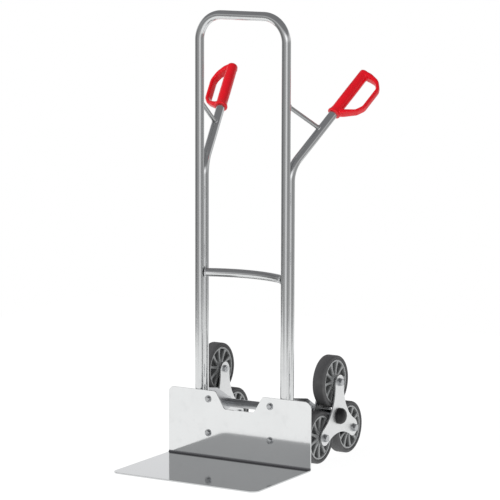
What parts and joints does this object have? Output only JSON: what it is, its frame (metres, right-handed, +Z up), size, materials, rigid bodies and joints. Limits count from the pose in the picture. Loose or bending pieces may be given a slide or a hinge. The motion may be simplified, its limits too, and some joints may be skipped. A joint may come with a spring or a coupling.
{
  "type": "stair climbing hand truck",
  "caption": "Upright hand truck with a bent tube frame, folded nose plate, guarded rear handles and a turning star of wheels on each end of its axle.",
  "frame": {"origin": "on the floor, at the middle of the width and of the front-to-back extent", "axes": "+Z up along the uprights, +X to the right-hand wheels, toe plate towards -Y, handles towards +Y"},
  "size_m": [0.5694, 0.6636, 1.3],
  "materials": {
    "tube_metal": "polished tube",
    "brace_metal": "drawn rod",
    "grip_plastic": "moulded, slightly glossy",
    "nose_metal": "polished sheet, mirror-like",
    "bracket_metal": "plain plate",
    "axle_steel": "turned steel",
    "bolt_steel": "zinc plated",
    "weld_metal": "weld bead",
    "black_plastic": "moulded",
    "star_metal": "satin plate",
    "rim_plastic": "moulded grey",
    "tyre_rubber": "solid rubber",
    "bearing_steel": "ground steel"
  },
  "bodies": {
    "frame": {"frame_tube": "tube_metal", "handle_tube_left": "tube_metal", "handle_tube_right": "tube_metal", "handle_brace_left": "brace_metal", "handle_brace_right": "brace_metal", "crossbar": "tube_metal", "grip_left": "grip_plastic", "grip_right": "grip_plastic", "nose_plate": "nose_metal", "axle_bracket_left": "bracket_metal", "axle_bracket_right": "bracket_metal", "nose_lug_left": "bracket_metal", "nose_lug_right": "bracket_metal", "axle_tube": "axle_steel", "axle": "axle_steel", "axle_clip_left": "axle_steel", "axle_clip_right": "axle_steel", "nose_bolts": "bolt_steel", "nose_washers": "bolt_steel", "nose_nuts": "bolt_steel", "weld_seams": "weld_metal", "tube_plugs": "black_plastic"},
    "star_left": {"star_outer_left": "star_metal", "star_inner_left": "star_metal", "star_hub_left": "axle_steel", "hub_cap_left": "black_plastic", "wheel_bolts_left": "bolt_steel", "wheel_nuts_left": "bolt_steel", "wheel_spacers_left": "axle_steel"},
    "star_right": {"star_outer_right": "star_metal", "star_inner_right": "star_metal", "star_hub_right": "axle_steel", "hub_cap_right": "black_plastic", "wheel_bolts_right": "bolt_steel", "wheel_nuts_right": "bolt_steel", "wheel_spacers_right": "axle_steel"},
    "wheel_left_top": {"rim_left_top": "rim_plastic", "tyre_left_top": "tyre_rubber", "bearings_left_top": "bearing_steel"},
    "wheel_left_front": {"rim_left_front": "rim_plastic", "tyre_left_front": "tyre_rubber", "bearings_left_front": "bearing_steel"},
    "wheel_left_rear": {"rim_left_rear": "rim_plastic", "tyre_left_rear": "tyre_rubber", "bearings_left_rear": "bearing_steel"},
    "wheel_right_top": {"rim_right_top": "rim_plastic", "tyre_right_top": "tyre_rubber", "bearings_right_top": "bearing_steel"},
    "wheel_right_front": {"rim_right_front": "rim_plastic", "tyre_right_front": "tyre_rubber", "bearings_right_front": "bearing_steel"},
    "wheel_right_rear": {"rim_right_rear": "rim_plastic", "tyre_right_rear": "tyre_rubber", "bearings_right_rear": "bearing_steel"}
  },
  "joints": [
    {"name": "star_left_turn", "type": "hinge", "parent": "frame", "child": "star_left", "pos_m": [-0.194, 0.1692, 0.126], "axis": [1, 0, 0], "continuous": true},
    {"name": "wheel_left_top_spin", "type": "hinge", "parent": "star_left", "child": "wheel_left_top", "pos_m": [-0.194, 0.1692, 0.226], "axis": [1, 0, 0], "continuous": true},
    {"name": "wheel_left_front_spin", "type": "hinge", "parent": "star_left", "child": "wheel_left_front", "pos_m": [-0.194, 0.0826, 0.076], "axis": [1, 0, 0], "continuous": true},
    {"name": "wheel_left_rear_spin", "type": "hinge", "parent": "star_left", "child": "wheel_left_rear", "pos_m": [-0.194, 0.2558, 0.076], "axis": [1, 0, 0], "continuous": true},
    {"name": "star_right_turn", "type": "hinge", "parent": "frame", "child": "star_right", "pos_m": [0.194, 0.1692, 0.126], "axis": [1, 0, 0], "continuous": true},
    {"name": "wheel_right_top_spin", "type": "hinge", "parent": "star_right", "child": "wheel_right_top", "pos_m": [0.194, 0.1692, 0.226], "axis": [1, 0, 0], "continuous": true},
    {"name": "wheel_right_front_spin", "type": "hinge", "parent": "star_right", "child": "wheel_right_front", "pos_m": [0.194, 0.0826, 0.076], "axis": [1, 0, 0], "continuous": true},
    {"name": "wheel_right_rear_spin", "type": "hinge", "parent": "star_right", "child": "wheel_right_rear", "pos_m": [0.194, 0.2558, 0.076], "axis": [1, 0, 0], "continuous": true}
  ]
}
